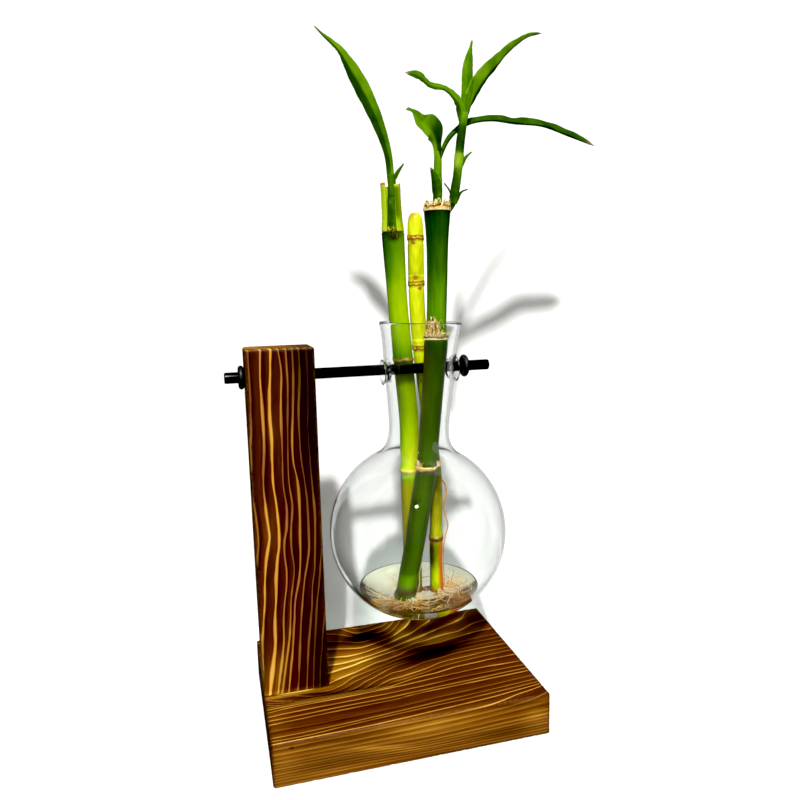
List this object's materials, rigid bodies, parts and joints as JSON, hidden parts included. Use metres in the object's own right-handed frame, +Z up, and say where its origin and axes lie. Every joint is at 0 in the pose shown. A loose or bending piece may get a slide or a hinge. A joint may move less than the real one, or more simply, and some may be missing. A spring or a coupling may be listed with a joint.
{
  "type": "lucky bamboo in a hanging bulb vase",
  "caption": "Lucky bamboo canes with narrow leaves, rooted in a clear glass bulb vase that hangs by its neck from a black rod on a charred wooden stand.",
  "frame": {"origin": "centre of the base board's underside", "axes": "+Z up, +X from the post towards the vase, -Y the front"},
  "size_m": [0.1882, 0.092, 0.321],
  "materials": {
    "wood": "torched and varnished pine, satin gloss",
    "black_paint": "gloss black",
    "black_rubber": "satin",
    "screw_steel": "yellow zinc",
    "clear_glass": "clear blown glass",
    "water": "clear water",
    "lime_cane": "waxy, lime to dark green",
    "yellow_cane": "waxy, bright yellow with brown scars",
    "dark_cane": "waxy, dark green",
    "leaf": "satin green leaf with dry brown tips",
    "pale_sheath": "thin pale green to yellow sheath",
    "dry_sheath": "dry fibrous husk",
    "root": "wet orange-brown roots"
  },
  "bodies": {
    "stand": {"base_board": "wood", "post": "wood", "rod": "black_paint", "rubber_ring_left": "black_rubber", "rubber_ring_right": "black_rubber", "screw_front": "screw_steel", "screw_back": "screw_steel"},
    "vase": {"glass_vase": "clear_glass", "water": "water", "cane_left": "lime_cane", "cane_middle": "yellow_cane", "cane_front": "dark_cane", "leafy_shoot_left": "leaf", "leafy_shoot_front": "leaf", "leafy_shoot_right": "leaf", "sheath_left": "pale_sheath", "dry_collar_top": "dry_sheath", "dry_wrap_middle": "dry_sheath", "dry_wrap_low": "dry_sheath", "roots_left": "root", "roots_front": "root", "roots_middle": "root"}
  },
  "joints": [
    {"name": "vase_swing", "type": "hinge", "parent": "stand", "child": "vase", "pos_m": [0, 0, 0.1672], "axis": [1, 0, 0], "range_deg": [-30, 30]}
  ]
}
